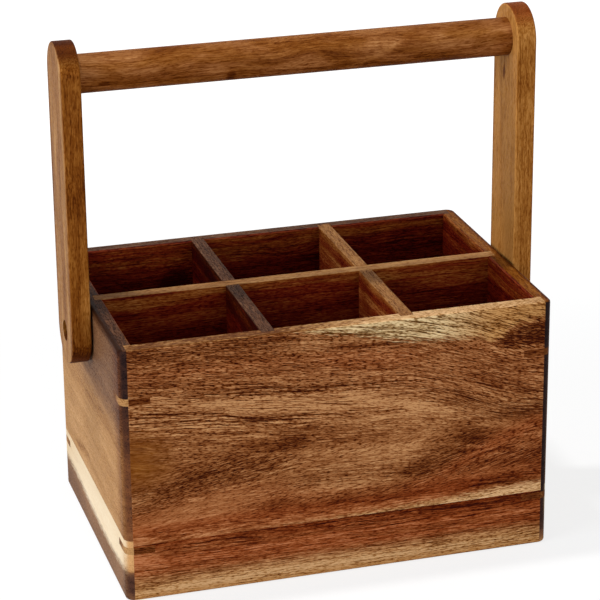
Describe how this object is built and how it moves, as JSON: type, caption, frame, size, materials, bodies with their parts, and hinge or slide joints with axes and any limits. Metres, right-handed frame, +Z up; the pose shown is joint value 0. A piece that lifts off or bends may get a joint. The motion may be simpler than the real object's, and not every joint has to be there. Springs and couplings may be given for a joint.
{
  "type": "six-cell caddy with a bail handle",
  "caption": "Open wooden caddy with a grid of tall cells and a swinging bail handle: flat round-ended arms on side pivots, joined by a dowel.",
  "frame": {"origin": "centre of the box's footprint, on the surface that it stands on", "axes": "+Z up, -Y towards the front wall, X along the long walls and the handle's pivot line"},
  "size_m": [0.264, 0.162, 0.2892],
  "materials": {
    "acacia_front": "oiled satin",
    "acacia_side": "oiled satin",
    "acacia_divider": "oiled satin",
    "acacia_base": "oiled satin",
    "acacia_arm": "oiled satin",
    "acacia_dowel": "oiled satin",
    "key_wood": "oiled satin",
    "screw_steel": "dark bronzed"
  },
  "bodies": {
    "box": {"front_board_lower": "acacia_front", "front_board_upper": "acacia_front", "back_board_lower": "acacia_front", "back_board_upper": "acacia_front", "left_board_lower": "acacia_side", "left_board_upper": "acacia_side", "right_board_lower": "acacia_side", "right_board_upper": "acacia_side", "corner_key_front_left_lower": "key_wood", "corner_key_front_right_lower": "key_wood", "corner_key_back_left_lower": "key_wood", "corner_key_back_right_lower": "key_wood", "corner_key_front_left_upper": "key_wood", "corner_key_front_right_upper": "key_wood", "corner_key_back_left_upper": "key_wood", "corner_key_back_right_upper": "key_wood", "bottom_panel": "acacia_base", "long_divider": "acacia_divider", "cross_divider_left": "acacia_divider", "cross_divider_right": "acacia_divider", "pivot_screw_left": "screw_steel", "pivot_screw_right": "screw_steel"},
    "handle": {"handle_arm_left": "acacia_arm", "handle_arm_right": "acacia_arm", "handle_dowel": "acacia_dowel"}
  },
  "joints": [
    {"name": "handle_swing", "type": "hinge", "parent": "box", "child": "handle", "pos_m": [0, 0, 0.1275], "axis": [1, 0, 0], "range_deg": [-138, 138]}
  ]
}
